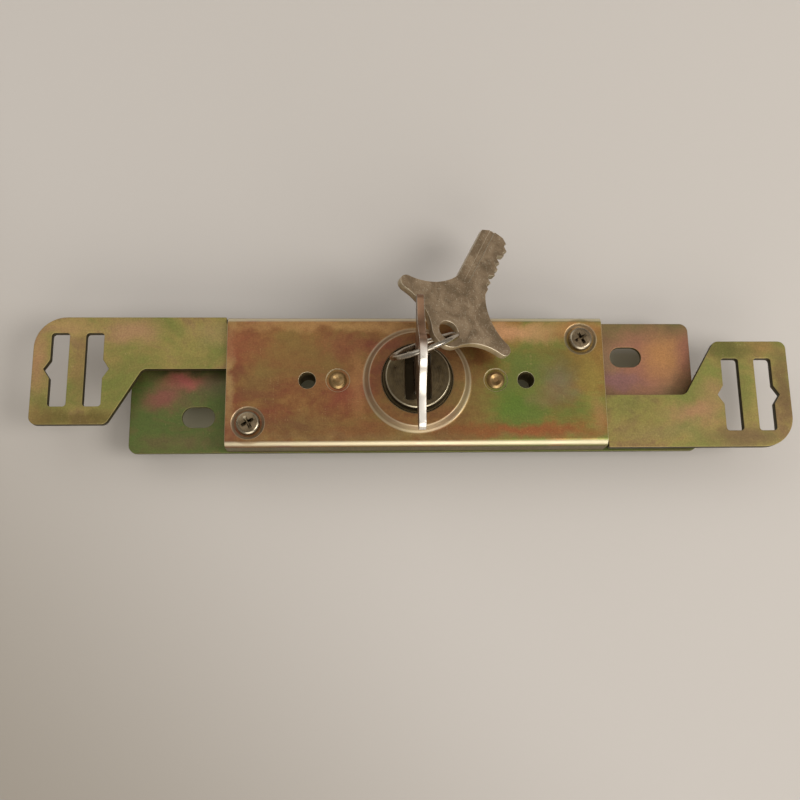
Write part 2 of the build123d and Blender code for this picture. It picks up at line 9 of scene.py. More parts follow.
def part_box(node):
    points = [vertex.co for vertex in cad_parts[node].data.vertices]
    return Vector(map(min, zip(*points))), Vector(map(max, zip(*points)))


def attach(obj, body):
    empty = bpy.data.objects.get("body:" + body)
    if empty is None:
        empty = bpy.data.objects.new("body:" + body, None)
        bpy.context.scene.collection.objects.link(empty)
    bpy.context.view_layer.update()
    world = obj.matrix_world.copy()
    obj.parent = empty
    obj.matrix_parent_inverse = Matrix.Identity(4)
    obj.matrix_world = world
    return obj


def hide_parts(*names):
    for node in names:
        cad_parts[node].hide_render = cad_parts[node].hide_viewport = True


# Roller shutter lock: yellow-chromated case and bars, a keyed cylinder, two keys on a wire ring.
# X runs along the bars, Z out of the cover. Piece sizes below are in millimetres.
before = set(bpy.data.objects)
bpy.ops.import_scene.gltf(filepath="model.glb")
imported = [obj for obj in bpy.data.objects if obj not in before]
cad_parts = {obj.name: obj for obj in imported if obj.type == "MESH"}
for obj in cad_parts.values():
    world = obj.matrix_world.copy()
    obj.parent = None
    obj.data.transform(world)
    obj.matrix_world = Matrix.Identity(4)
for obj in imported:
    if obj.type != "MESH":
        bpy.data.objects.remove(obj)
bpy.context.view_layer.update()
mm = 0.001
scene = bpy.context.scene
print("frame loaded")


# Mesh helpers. Lengths in millimetres, areas in square millimetres, angles in degrees.

mending = {
    "weld": 0.002, "coplanar": 0.5, "flatCosine": 0.9999, "leastFlat": 2, "levelReach": 0.004,
    "nearness": 1e-5, "sharp": 38, "heldWithin": 34, "leastHeld": 0.0001, "bevelSegments": 3,
}


def linked(name, data):
    thing = bpy.data.objects.new(name, data)
    scene.collection.objects.link(thing)
    return thing


def meshFrom(build, name):
    mesh = bpy.data.meshes.new(name)
    build.to_mesh(mesh)
    build.free()
    return mesh


def settle(piece):
    # the modifiers' result becomes the piece's own plain mesh
    graph = bpy.context.evaluated_depsgraph_get()
    mesh = bpy.data.meshes.new_from_object(piece.evaluated_get(graph))
    piece.modifiers.clear()
    piece.data = mesh
    return piece


def dress(piece, material, body, slotName, *nodes):
    # finish, body and CAD nodes of a finished piece
    piece.data.materials.clear()
    piece.data.materials.append(material)
    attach(piece, body)
    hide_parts(*nodes)


def wholeFaces(node):
    # a CAD node's loose triangles, merged into whole faces
    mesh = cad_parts[node].data.copy()
    for layer in ("custom_normal", "sharp_edge", "sharp_face", "UVMap"):
        if layer in mesh.attributes:
            mesh.attributes.remove(mesh.attributes[layer])
    build = bmesh.new()
    build.from_mesh(mesh)
    bpy.data.meshes.remove(mesh)
    bmesh.ops.remove_doubles(build, verts=build.verts, dist=mending["weld"] * mm)
    coplanar = math.radians(mending["coplanar"])
    bmesh.ops.dissolve_limit(build, angle_limit=coplanar, verts=build.verts, edges=build.edges)
    return build


def bevelled(build, name, widest, roundAt, creaseAngle):
    # every crease rounded, as wide as roundAt says at that place
    weight = build.edges.layers.float.new("bevel_weight_edge")
    for edge in build.edges:
        if len(edge.link_faces) == 2 and edge.calc_face_angle() > math.radians(creaseAngle):
            middle = (edge.verts[0].co + edge.verts[1].co) / (2 * mm)
            edge[weight] = roundAt(middle) / widest if roundAt else 1.0
    piece = linked(name, meshFrom(build, name))
    bevel = piece.modifiers.new("rounded creases", "BEVEL")
    bevel.limit_method = "WEIGHT"
    bevel.width = widest * mm
    bevel.segments = mending["bevelSegments"]
    bevel.use_clamp_overlap = False
    # sliding suits the dimples that run into the cover's bends, but tears long flat edges
    bevel.loop_slide = roundAt is not None
    return settle(piece)


def flatHeights(build, side):
    # how far out along side the shape's flat faces lie
    heights = {}
    for face in build.faces:
        if abs(face.normal.dot(side)) > mending["flatCosine"]:
            height = round(face.calc_center_median().dot(side) / mm, 2)
            heights[height] = heights.get(height, 0) + face.calc_area() / mm ** 2
    return [height for height, area in heights.items() if area > mending["leastFlat"]]


def encloses(borders, spot):
    # whether a ray from the spot crosses the borders an odd number of times
    odd = False
    for first, last in borders:
        if (first.y > spot.y) != (last.y > spot.y):
            odd ^= spot.x < first.x + (spot.y - first.y) * (last.x - first.x) / (last.y - first.y)
    return odd


def patchesOf(faces, closed):
    # groups of triangles that share an edge which no border closes
    sharing = {}
    for face in faces:
        for edge in zip(face, face[1:] + face[:1]):
            sharing.setdefault(frozenset(edge), []).append(face)
    left = set(faces)
    while left:
        patch, front = [], [left.pop()]
        while front:
            face = front.pop()
            patch.append(face)
            for edge in zip(face, face[1:] + face[:1]):
                if frozenset(edge) not in closed:
                    near = left.intersection(sharing[frozenset(edge)])
                    left -= near
                    front.extend(near)
        yield patch


def turnedWrong(edges):
    # whether most of the edges join faces that are turned opposite ways
    return sum(1 if edge.is_contiguous else -1 for edge in edges) < 0


def fillBetween(build, rim, side, height):
    # triangles between the border edges of one flat, with its holes left open
    across = side.orthogonal().normalized()
    up = side.cross(across)
    verts = list(dict.fromkeys(vert for edge in rim for vert in edge.verts))
    place = {vert: i for i, vert in enumerate(verts)}
    spots = [Vector((vert.co.dot(across), vert.co.dot(up))) for vert in verts]
    links = [(place[edge.verts[0]], place[edge.verts[1]]) for edge in rim]
    borders = [(spots[first], spots[last]) for first, last in links]
    points, edges, faces, sources, origins, others = delaunay_2d_cdt(spots, links, [], 1, mending["nearness"])
    closed = {frozenset(edge) for edge, origin in zip(edges, origins) if origin}
    corners = []
    for spot, source in zip(points, sources):
        fresh = across * spot.x + up * spot.y + side * height
        corners.append(verts[source[0]] if source else build.verts.new(fresh))
    for patch in patchesOf([tuple(face) for face in faces], closed):
        widest = max(patch, key=lambda face: area_tri(*(points[i] for i in face)))
        if not encloses(borders, sum((points[i] for i in widest), Vector((0, 0))) / 3):
            continue
        outlines = [[corners[i] for i in face] for face in patch]
        filled = [build.faces.new(outline) for outline in outlines if not build.faces.get(outline)]
        # turned the same way round as the faces that border them
        own = set(filled)
        shared = [edge for edge in rim if len(edge.link_faces) == 2]
        if turnedWrong(edge for edge in shared if len(own.intersection(edge.link_faces)) == 1):
            bmesh.ops.reverse_faces(build, faces=filled)


def openEdges(build):
    return [edge for edge in build.edges if len(edge.link_faces) == 1]


def refillFlats(build, side, heights):
    # each flat filled again between its borders, so that no edge crosses it
    bmesh.ops.scale(build, vec=Vector((1, 1, 1)) / mm, verts=build.verts)
    for height in heights:
        level = {vert for vert in build.verts if abs(vert.co.dot(side) - height) < mending["levelReach"]}
        flat = [face for face in build.faces if level.issuperset(face.verts)]
        bmesh.ops.delete(build, geom=flat, context="FACES")
        rim = [edge for edge in openEdges(build) if level.issuperset(edge.verts)]
        fillBetween(build, rim, side, height)
    # slivers too thin for the triangulation
    bmesh.ops.holes_fill(build, edges=openEdges(build), sides=4)
    for face in build.faces:
        if turnedWrong(face.edges):
            face.normal_flip()
    bmesh.ops.scale(build, vec=Vector((1, 1, 1)) * mm, verts=build.verts)


def steadyNormals(mesh, side):
    # flats stay flat up to their rim; roundings run into them smoothly
    mesh.shade_smooth()
    mesh.set_sharp_from_angle(angle=math.radians(mending["sharp"]))
    steady = {}
    for polygon in mesh.polygons:
        facing = polygon.normal.dot(side)
        if abs(facing) > mending["flatCosine"] and polygon.area > mending["leastHeld"] * mm ** 2:
            for vert in polygon.vertices:
                steady[vert] = side if facing > 0 else -side
    normals = [corner.vector.copy() for corner in mesh.corner_normals]
    for i, loop in enumerate(mesh.loops):
        held, own = steady.get(loop.vertex_index), normals[i]
        if held and own.length > 0 and own.angle(held) < math.radians(mending["heldWithin"]):
            normals[i] = held
    mesh.normals_split_custom_set(normals)


def roundedCopy(node, name, widest, roundAt=None, creaseAngle=28, flatSide=(0, 0, 1), graft=None):
    # the CAD shape with rounded creases; graft may swap a part of it
    side = Vector(flatSide).normalized()
    piece = bevelled(wholeFaces(node), name, widest, roundAt, creaseAngle)
    build = bmesh.new()
    build.from_mesh(piece.data)
    heights = flatHeights(build, side)
    if graft:
        graft(build)
    refillFlats(build, side, heights)
    build.to_mesh(piece.data)
    build.free()
    steadyNormals(piece.data, side)
    return piece


def roundedPath(corners, steps=5):
    # lines through (across, height, corner radius) points, with arcs at their corners
    path = []
    for i, (across, height, radius) in enumerate(corners):
        here = Vector((across, height))
        if radius == 0 or i in (0, len(corners) - 1):
            path.append(here)
            continue
        back = (Vector(corners[i - 1][:2]) - here).normalized()
        ahead = (Vector(corners[i + 1][:2]) - here).normalized()
        half = back.angle(ahead) / 2
        reach = radius / math.tan(half)
        centre = here + (back + ahead).normalized() * (radius / math.sin(half))
        first = here + back * reach - centre
        last = here + ahead * reach - centre
        sweep = first.angle_signed(last)
        for k in range(steps + 1):
            path.append(centre + Matrix.Rotation(-sweep * k / steps, 2) @ first)
    return path


def spun(build, path, steps):
    # a profile turned about Z, closed where it meets the axis
    angles = [2 * math.pi * k / steps for k in range(steps)]
    rings = []
    for across, height in path:
        if across < 1e-6:
            spots = [(0, 0, height * mm)]
        else:
            spots = [(across * mm * math.cos(a), across * mm * math.sin(a), height * mm) for a in angles]
        rings.append([build.verts.new(spot) for spot in spots])
    for low, high in zip(rings, rings[1:]):
        for k in range(steps):
            after = k + 1
            ring = [low[k % len(low)], low[after % len(low)], high[after % len(high)], high[k % len(high)]]
            corners = list(dict.fromkeys(ring))
            if len(corners) > 2:
                build.faces.new(corners)


def turnedPart(name, path, steps=56):
    # a loose turned part, to be cut or set out later
    build = bmesh.new()
    spun(build, path, steps)
    bmesh.ops.recalc_face_normals(build, faces=build.faces)
    part = linked(name, meshFrom(build, name))
    part.data.shade_smooth()
    part.data.set_sharp_from_angle(angle=math.radians(mending["sharp"]))
    return part


# Node helpers, for shapes and finishes alike

number, place3 = "NodeSocketFloat", "NodeSocketVector"


def feed(tree, socket, value):
    # a socket takes a link or a plain value
    if isinstance(value, bpy.types.NodeSocket):
        tree.links.new(value, socket)
    else:
        socket.default_value = value


def feedAll(tree, node, **values):
    # sockets by name, with an underscore for a space
    for name, value in values.items():
        feed(tree, node.inputs[name.replace("_", " ")], value)


def put(tree, kind, **values):
    # a new node; names in small letters are its settings, the others its sockets
    node = tree.nodes.new(kind)
    for name, value in values.items():
        if name[0].islower():
            setattr(node, name, value)
        else:
            feedAll(tree, node, **{name: value})
    return node


def reckon(tree, operation, first, second=0.0):
    node = put(tree, "ShaderNodeMath", operation=operation)
    feed(tree, node.inputs[0], first)
    feed(tree, node.inputs[1], second)
    return node.outputs[0]


def times(tree, first, second):
    return reckon(tree, "MULTIPLY", first, second)


def plus(tree, first, second):
    return reckon(tree, "ADD", first, second)


def vectored(tree, operation, *values):
    node = put(tree, "ShaderNodeVectorMath", operation=operation)
    for socket, value in zip(node.inputs, values):
        feed(tree, socket, value)
    plain = operation in ("LENGTH", "DISTANCE", "DOT_PRODUCT")
    return node.outputs["Value" if plain else "Vector"]


def scaled(tree, vector, factor):
    node = put(tree, "ShaderNodeVectorMath", operation="SCALE", Scale=factor)
    feed(tree, node.inputs[0], vector)
    return node.outputs[0]


def axesOf(tree, place):
    return put(tree, "ShaderNodeSeparateXYZ", Vector=place).outputs


def openTree(kind, name, takes, gives):
    # an empty group with named sockets
    tree = bpy.data.node_groups.new(name, kind)
    for way, sockets in (("INPUT", takes), ("OUTPUT", gives)):
        for label, socketKind in sockets.items():
            tree.interface.new_socket(label, in_out=way, socket_type=socketKind)
    return tree, tree.nodes.new("NodeGroupInput").outputs, tree.nodes.new("NodeGroupOutput")


# Shapes that repeat or follow a path

def growthTree(name, sizes):
    # a named input for each size, and one for the finish
    shape = {"Geometry": "NodeSocketGeometry"}
    takes = {**shape, **sizes, "Finish": "NodeSocketMaterial"}
    return openTree("GeometryNodeTree", name, takes, shape)


def finishTree(tree, given, result, geometry):
    # every tree ends in real geometry with its material on it
    real = put(tree, "GeometryNodeRealizeInstances", Geometry=geometry).outputs[0]
    painted = put(tree, "GeometryNodeSetMaterial", Geometry=real, Material=given["Finish"])
    feed(tree, result.inputs[0], painted.outputs[0])
    return tree


def grow(name, tree, values):
    # an empty mesh carries the tree; inputs are set by their identifiers
    piece = linked(name, bpy.data.meshes.new(name))
    growth = piece.modifiers.new("growth", "NODES")
    growth.node_group = tree
    for item in tree.interface.items_tree:
        if item.item_type == "SOCKET" and item.in_out == "INPUT" and item.name in values:
            growth[item.identifier] = values[item.name]
    return settle(piece)


def growFrom(part, name, tree, along, across, material):
    # a tree sets out copies of a loose part, which then goes
    sizes = {"Part": part, "Along": along * mm, "Across": across * mm, "Finish": material}
    piece = grow(name, tree, sizes)
    bpy.data.objects.remove(part)
    return piece


partSizes = {"Part": "NodeSocketObject", "Along": number, "Across": number}


def pairTree():
    # one part at two places, turned half a turn about the key's axis
    tree, given, result = growthTree("pair about the key axis", partSizes)
    first = put(tree, "ShaderNodeCombineXYZ", X=given["Along"], Y=given["Across"]).outputs[0]
    opposite = scaled(tree, first, -2.0)
    line = put(tree, "GeometryNodeMeshLine", Count=2, Start_Location=first, Offset=opposite)
    halfTurns = times(tree, put(tree, "GeometryNodeInputIndex").outputs[0], math.pi)
    spin = put(tree, "ShaderNodeCombineXYZ", Z=halfTurns).outputs[0]
    part = put(tree, "GeometryNodeObjectInfo", Object=given["Part"]).outputs["Geometry"]
    placed = put(tree, "GeometryNodeInstanceOnPoints", Points=line.outputs[0], Instance=part, Rotation=spin)
    return finishTree(tree, given, result, placed.outputs[0])


def cornersTree():
    # one part at the four corners of a rectangle about the key's axis
    tree, given, result = growthTree("four corners", partSizes)
    grid = put(tree, "GeometryNodeMeshGrid", Vertices_X=2, Vertices_Y=2)
    feedAll(tree, grid, Size_X=given["Along"], Size_Y=given["Across"])
    part = put(tree, "GeometryNodeObjectInfo", Object=given["Part"]).outputs["Geometry"]
    placed = put(tree, "GeometryNodeInstanceOnPoints", Points=grid.outputs[0], Instance=part)
    return finishTree(tree, given, result, placed.outputs[0])


def sweptWire(tree, path, radius, sides):
    # smooth round wire along a path, with closed ends
    wire = put(tree, "GeometryNodeCurvePrimitiveCircle", Resolution=sides, Radius=radius).outputs["Curve"]
    swept = put(tree, "GeometryNodeCurveToMesh", Profile_Curve=wire, Fill_Caps=True)
    feedAll(tree, swept, Curve=path.outputs["Curve"])
    return put(tree, "GeometryNodeSetShadeSmooth", Geometry=swept.outputs[0]).outputs[0]


def wireRingTree():
    # round wire bent to a ring that is left open by a small gap
    sizes = {"Ring Radius": number, "Wire Radius": number, "Gap Angle": number}
    tree, given, result = growthTree("bent wire ring", sizes)
    sweep = reckon(tree, "SUBTRACT", 2 * math.pi, given["Gap Angle"])
    arc = put(tree, "GeometryNodeCurveArc", mode="RADIUS", Resolution=160)
    feedAll(tree, arc, Radius=given["Ring Radius"], Sweep_Angle=sweep)
    return finishTree(tree, given, result, sweptWire(tree, arc, given["Wire Radius"], 20))


def woundSpringTree():
    # a row of small wound springs that lie along Y, one above the other
    sizes = {
        "Coil Radius": number, "Wire Radius": number, "Length": number, "Turns": number, "Start": place3,
        "Pitch": number, "Count": "NodeSocketInt",
    }
    tree, given, result = growthTree("wound pin springs", sizes)
    radius = given["Coil Radius"]
    coil = put(tree, "GeometryNodeCurveSpiral", Resolution=24, Start_Radius=radius, End_Radius=radius)
    feedAll(tree, coil, Rotations=given["Turns"], Height=given["Length"])
    wire = sweptWire(tree, coil, given["Wire Radius"], 10)
    lying = put(tree, "GeometryNodeTransform", Geometry=wire, Rotation=(-math.pi / 2, 0, 0))
    climb = put(tree, "ShaderNodeCombineXYZ", Z=given["Pitch"]).outputs[0]
    line = put(tree, "GeometryNodeMeshLine", Count=given["Count"], Offset=climb)
    feedAll(tree, line, Start_Location=given["Start"])
    placed = put(tree, "GeometryNodeInstanceOnPoints", Points=line.outputs[0], Instance=lying.outputs[0])
    return finishTree(tree, given, result, placed.outputs[0])


# Shader helpers

def tint(red, green, blue):
    # a colour as seen on a screen, 0 to 255, in the shader's linear terms
    levels = []
    for level in (red / 255, green / 255, blue / 255):
        levels.append(level / 12.92 if level <= 0.04045 else ((level + 0.055) / 1.055) ** 2.4)
    return (*levels, 1.0)


def softStep(tree, value, low, high, toLow=0.0, toHigh=1.0):
    node = put(tree, "ShaderNodeMapRange", interpolation_type="SMOOTHSTEP")
    for socket, given in zip(node.inputs, (value, low, high, toLow, toHigh)):
        feed(tree, socket, given)
    return node.outputs[0]


def clouds(tree, place, size, detail=3.0, roughness=0.5, distortion=0.0):
    # soft noise whose blots are about size millimetres across
    node = put(tree, "ShaderNodeTexNoise", Vector=place, Scale=1 / size, Detail=detail)
    feedAll(tree, node, Roughness=roughness, Distortion=distortion)
    return node.outputs["Fac"]


def streaked(tree, place, scales, turn, size, detail=3.0, roughness=0.5):
    # noise on a place that is squeezed by scales and turned
    squeezed = put(tree, "ShaderNodeMapping", Vector=place, Rotation=turn, Scale=scales).outputs[0]
    return clouds(tree, squeezed, size, detail, roughness)


def mixed(tree, factor, first, second, kind="MIX"):
    # two colours, each a link or a tuple as tint takes it; they have sockets 6 and 7
    node = put(tree, "ShaderNodeMix", data_type="RGBA", blend_type=kind)
    feed(tree, node.inputs[0], factor)
    for socket, colour in zip(node.inputs[6:8], (first, second)):
        feed(tree, socket, tint(*colour) if isinstance(colour, tuple) else colour)
    return node.outputs[2]


def ramped(tree, factor, stops):
    node = put(tree, "ShaderNodeValToRGB")
    feed(tree, node.inputs[0], factor)
    points = node.color_ramp.elements
    while len(points) < len(stops):
        points.new(0.5)
    for point, (place, colour) in zip(points, stops):
        point.position = place
        point.color = tint(*colour)
    return node.outputs[0]


def effect(name, takes, *gives):
    # a shared shader effect, which gives plain values
    return openTree("ShaderNodeTree", name, takes, {label: number for label in gives})


def chromateFilmEffect():
    # how thick the chromate lies: broad drifts and a fine mottle
    tree, given, gives = effect("chromate film", {"Place": place3, "Offset": place3}, "Broad", "Mottle")
    moved = vectored(tree, "ADD", given["Place"], given["Offset"])
    spread = put(tree, "ShaderNodeMapping", Vector=moved, Scale=(0.75, 1.2, 1.0)).outputs[0]
    broad = clouds(tree, spread, 13.0, 4.0, 0.58, 0.6)
    mottle = clouds(tree, moved, 2.6, 4.0, 0.62, 0.3)
    thickness = softStep(tree, plus(tree, broad, times(tree, mottle, 0.25)), 0.42, 0.82)
    feedAll(tree, gives, Broad=thickness, Mottle=mottle)
    return tree


def colourPatchEffect():
    # an oval patch of another colour, with a ragged soft edge: film that turned, and on the base plate one
    # painted shadow
    takes = {"Place": place3, "Centre": place3, "Size": place3, "Share": number}
    tree, given, gives = effect("colour patch", takes, "Mask")
    ragged = put(tree, "ShaderNodeTexNoise", Vector=given["Place"], Scale=0.17, Detail=4.0, Roughness=0.62)
    reach = 3.5
    spread, back = (2 * reach, 2 * reach, 0.0), (-reach, -reach, 0.0)
    wander = vectored(tree, "MULTIPLY_ADD", ragged.outputs["Color"], spread, back)
    away = vectored(tree, "SUBTRACT", given["Place"], given["Centre"])
    share = vectored(tree, "DIVIDE", vectored(tree, "ADD", away, wander), given["Size"])
    mask = softStep(tree, vectored(tree, "LENGTH", share), 0.1, 1.35, 1.0, 0.0)
    feedAll(tree, gives, Mask=times(tree, mask, given["Share"]))
    return tree


def sheetGrainEffect():
    # rolled sheet under plating: fine pebbling, faint rolling lines and a few rubs
    tree, given, gives = effect("sheet grain", {"Place": place3}, "Pebble", "Rubs", "Relief")
    pebble = clouds(tree, given["Place"], 0.42, 3.0, 0.62)
    lines = streaked(tree, given["Place"], (0.06, 1.0, 1.0), (0, 0, 0), 0.3, 2.0)
    cross = streaked(tree, given["Place"], (1.0, 0.05, 1.0), (0, 0, 0.5), 0.34, 2.0)
    rubs = softStep(tree, times(tree, lines, cross), 0.37, 0.47)
    relief = plus(tree, pebble, times(tree, lines, 0.35))
    feedAll(tree, gives, Pebble=pebble, Rubs=rubs, Relief=relief)
    return tree


def stampedEdgeEffect():
    # from the surface's normal: a sheet's cut wall, its rounded rim and the cut's streaks
    takes = {"Place": place3, "Normal": place3, "Flat Side": place3}
    tree, given, gives = effect("stamped edge", takes, "Wall", "Rim", "Streaks")
    flat = reckon(tree, "ABSOLUTE", vectored(tree, "DOT_PRODUCT", given["Normal"], given["Flat Side"]))
    wall = softStep(tree, flat, 0.12, 0.42, 1.0, 0.0)
    rim = times(tree, softStep(tree, flat, 0.35, 0.72), softStep(tree, flat, 0.86, 0.985, 1.0, 0.0))
    streaks = streaked(tree, given["Place"], (1.0, 1.0, 0.08), (0, 0, 0), 0.32, 3.0, 0.6)
    feedAll(tree, gives, Wall=wall, Rim=rim, Streaks=streaks)
    return tree


def handledMetalEffect():
    # a thing that lives in a pocket: pits, fine scratches both ways and dull smears
    tree, given, gives = effect("handled metal", {"Place": place3}, "Pits", "Scratches", "Smears", "Relief")
    cells = put(tree, "ShaderNodeTexVoronoi", feature="F1", Vector=given["Place"], Scale=1.1, Randomness=1.0)
    pits = softStep(tree, cells.outputs["Distance"], 0.06, 0.2, 1.0, 0.0)
    one = streaked(tree, given["Place"], (0.05, 1.0, 1.0), (0, 0.4, 0.7), 0.22, 2.0)
    two = streaked(tree, given["Place"], (1.0, 0.05, 1.0), (0.5, 0, -0.4), 0.2, 2.0)
    scratches = reckon(tree, "MAXIMUM", softStep(tree, one, 0.62, 0.7), softStep(tree, two, 0.63, 0.71))
    smears = clouds(tree, given["Place"], 4.5, 4.0, 0.62, 0.8)
    relief = reckon(tree, "SUBTRACT", clouds(tree, given["Place"], 0.35, 3.0, 0.6), times(tree, pits, 0.7))
    relief = reckon(tree, "SUBTRACT", relief, times(tree, scratches, 0.25))
    feedAll(tree, gives, Pits=pits, Scratches=scratches, Smears=smears, Relief=relief)
    return tree


def toolMarksEffect():
    # rings left by turning about the key's axis
    tree, given, gives = effect("tool marks", {"Place": place3}, "Rings", "Clouds")
    radius = vectored(tree, "LENGTH", vectored(tree, "MULTIPLY", given["Place"], (1, 1, 0)))
    spread = put(tree, "ShaderNodeCombineXYZ", X=radius).outputs[0]
    rings = clouds(tree, spread, 0.16, 2.0, 0.6)
    feedAll(tree, gives, Rings=rings, Clouds=clouds(tree, given["Place"], 1.6, 3.0, 0.6))
    return tree


chromateFilm = chromateFilmEffect()
colourPatch = colourPatchEffect()
sheetGrain = sheetGrainEffect()
stampedEdge = stampedEdgeEffect()
handledMetal = handledMetalEffect()
toolMarks = toolMarksEffect()
print("shader effects ready")


def useEffect(tree, group, **values):
    return put(tree, "ShaderNodeGroup", node_tree=group, **values).outputs


def blankFinish(name, metallic=1.0, **constants):
    # a material with its shader, the place in millimetres and the piece's own normal
    material = bpy.data.materials.new(name)
    material.use_nodes = True
    tree = material.node_tree
    shader = tree.nodes["Principled BSDF"]
    feedAll(tree, shader, Metallic=metallic, **constants)
    coords = put(tree, "ShaderNodeTexCoord").outputs
    return material, tree, shader, scaled(tree, coords["Object"], 1 / mm), coords["Normal"]


def bumpInto(tree, shader, height, depth):
    # depth is the relief's height in millimetres
    bump = put(tree, "ShaderNodeBump", Height=height, Distance=depth * mm, Strength=1.0)
    feedAll(tree, shader, Normal=bump.outputs[0])


def filmAndPatchColours(tree, place, look):
    # the film's own run of colours, then the colour patches one over another
    coat = useEffect(tree, chromateFilm, Place=place, Offset=look["offset"])
    colour = ramped(tree, coat["Broad"], look["film"])
    if "beyond" in look:
        wavy = plus(tree, axesOf(tree, place)["X"], times(tree, coat["Mottle"], 6.0))
        beyond = ramped(tree, coat["Broad"], look["beyond"])
        colour = mixed(tree, softStep(tree, wavy, *look["turnsAt"]), colour, beyond)
    for x, y, sizeX, sizeY, share, patchColour in look["patches"]:
        patch = dict(Place=place, Centre=(x, y, 0), Size=(sizeX, sizeY, 1000), Share=share)
        colour = mixed(tree, useEffect(tree, colourPatch, **patch)["Mask"], colour, patchColour)
    return colour, coat


def chromatedSteel(name, look):
    # plated sheet steel: film colours and colour patches, pale rims that are worn bright and partly a painted
    # highlight, dark streaked cut walls that are partly painted shade
    material, tree, shader, place, normal = blankFinish(name, look["metallic"])
    film, coat = filmAndPatchColours(tree, place, look)
    grain = useEffect(tree, sheetGrain, Place=place)
    edge = useEffect(tree, stampedEdge, Place=place, Normal=normal, Flat_Side=(0, 0, 1))
    pebbled = softStep(tree, grain["Pebble"], 0.25, 0.75, 0.84, 1.14)
    shade = times(tree, pebbled, softStep(tree, coat["Mottle"], 0.3, 0.7, 0.93, 1.06))
    greyed = put(tree, "ShaderNodeCombineColor", Red=shade, Green=shade, Blue=shade)
    lit = mixed(tree, 1.0, film, greyed.outputs[0], "MULTIPLY")
    rubbed = mixed(tree, times(tree, grain["Rubs"], 0.35), lit, look["rubbed"])
    # pale rims: edges worn bright, and partly a painted highlight along the bends
    rimShare = times(tree, edge["Rim"], look["rimShare"])
    for centre, reach, kept in look.get("rimsWithLessHighlight", []):
        # around the dimples and the collar the pale rims, partly a painted highlight, are weaker
        away = vectored(tree, "DISTANCE", place, centre)
        rimShare = times(tree, rimShare, softStep(tree, away, reach - 0.4, reach + 0.4, kept, 1.0))
    rimmed = mixed(tree, rimShare, rubbed, look["rim"])
    # cut walls: streaked and dark, the dark partly a painted shade
    cut = mixed(tree, edge["Streaks"], look["wallDark"], look["wallLight"])
    matt = look["roughness"]
    dull = softStep(tree, coat["Broad"], 0.1, 0.9, matt - 0.05, matt + 0.06)
    dull = plus(tree, dull, times(tree, reckon(tree, "SUBTRACT", grain["Pebble"], 0.5), 0.18))
    dull = plus(tree, dull, times(tree, edge["Wall"], 0.12))
    feedAll(tree, shader, Base_Color=mixed(tree, edge["Wall"], rimmed, cut), Roughness=dull)
    bumpInto(tree, shader, plus(tree, grain["Relief"], edge["Streaks"]), look["relief"])
    return material


def nickelKey(name, look):
    # nickel-plated brass, rubbed dull on its flats and bright along its rims, partly as a painted highlight;
    # the lock key's edge walls carry a painted highlight below its axis
    material, tree, shader, place, normal = blankFinish(name, look["metallic"])
    worn = useEffect(tree, handledMetal, Place=place)
    edge = useEffect(tree, stampedEdge, Place=place, Normal=normal, Flat_Side=look["flatSide"])
    base = ramped(tree, worn["Smears"], [(0.3, look["dark"]), (0.5, look["mid"]), (0.7, look["light"])])
    base = mixed(tree, times(tree, worn["Pits"], 0.5), base, look["grime"])
    base = mixed(tree, times(tree, worn["Scratches"], 0.45), base, look["bare"])
    base = mixed(tree, times(tree, edge["Rim"], 0.75), base, look["bare"])
    # edge walls: on the lock key a painted highlight below the axis and a darker tone above it
    wavy = plus(tree, axesOf(tree, place)["Y"], times(tree, worn["Smears"], 4.0))
    wall = mixed(tree, softStep(tree, wavy, *look["upperFrom"]), look["wall"], look["wallUpper"])
    base = mixed(tree, times(tree, edge["Wall"], look["wallShare"]), base, wall)
    matt = look["roughness"]
    dull = softStep(tree, worn["Smears"], 0.3, 0.7, matt - 0.06, matt + 0.1)
    dull = reckon(tree, "SUBTRACT", dull, times(tree, edge["Rim"], 0.1))
    feedAll(tree, shader, Base_Color=base, Roughness=dull)
    bumpInto(tree, shader, worn["Relief"], look["relief"])
    return material


def turnedMetal(name, look):
    # lathe-turned or cast metal: faint rings, cloudy tarnish and specks, pale rims that are partly a painted
    # highlight, and painted shade in a recess where one is given
    material, tree, shader, place, normal = blankFinish(name, look.get("metallic", 1.0))
    marks = useEffect(tree, toolMarks, Place=place)
    worn = useEffect(tree, handledMetal, Place=place)
    edge = useEffect(tree, stampedEdge, Place=place, Normal=normal, Flat_Side=(0, 0, 1))
    base = mixed(tree, softStep(tree, marks["Clouds"], 0.3, 0.7), look["dark"], look["light"])
    rings = times(tree, softStep(tree, marks["Rings"], 0.4, 0.65), look.get("ringShare", 0.3))
    base = mixed(tree, rings, base, look["bare"])
    base = mixed(tree, times(tree, worn["Pits"], 0.35), base, look["dark"])
    # painted shade inside a recess below the given height
    if "sunkBelow" in look:
        top = look["sunkBelow"]
        recessShade = softStep(tree, axesOf(tree, place)["Z"], top - 0.5, top - 0.1, 1.0, 0.0)
        base = mixed(tree, recessShade, base, look["recessShade"])
    # pale rims: worn bright, and partly a painted highlight
    base = mixed(tree, times(tree, edge["Rim"], look.get("rimShare", 0.5)), base, look["bare"])
    matt = look["roughness"]
    dull = softStep(tree, marks["Clouds"], 0.25, 0.75, matt - 0.07, matt + 0.09)
    feedAll(tree, shader, Base_Color=base, Roughness=dull)
    bumpInto(tree, shader, plus(tree, marks["Rings"], worn["Relief"]), look["relief"])
    return material


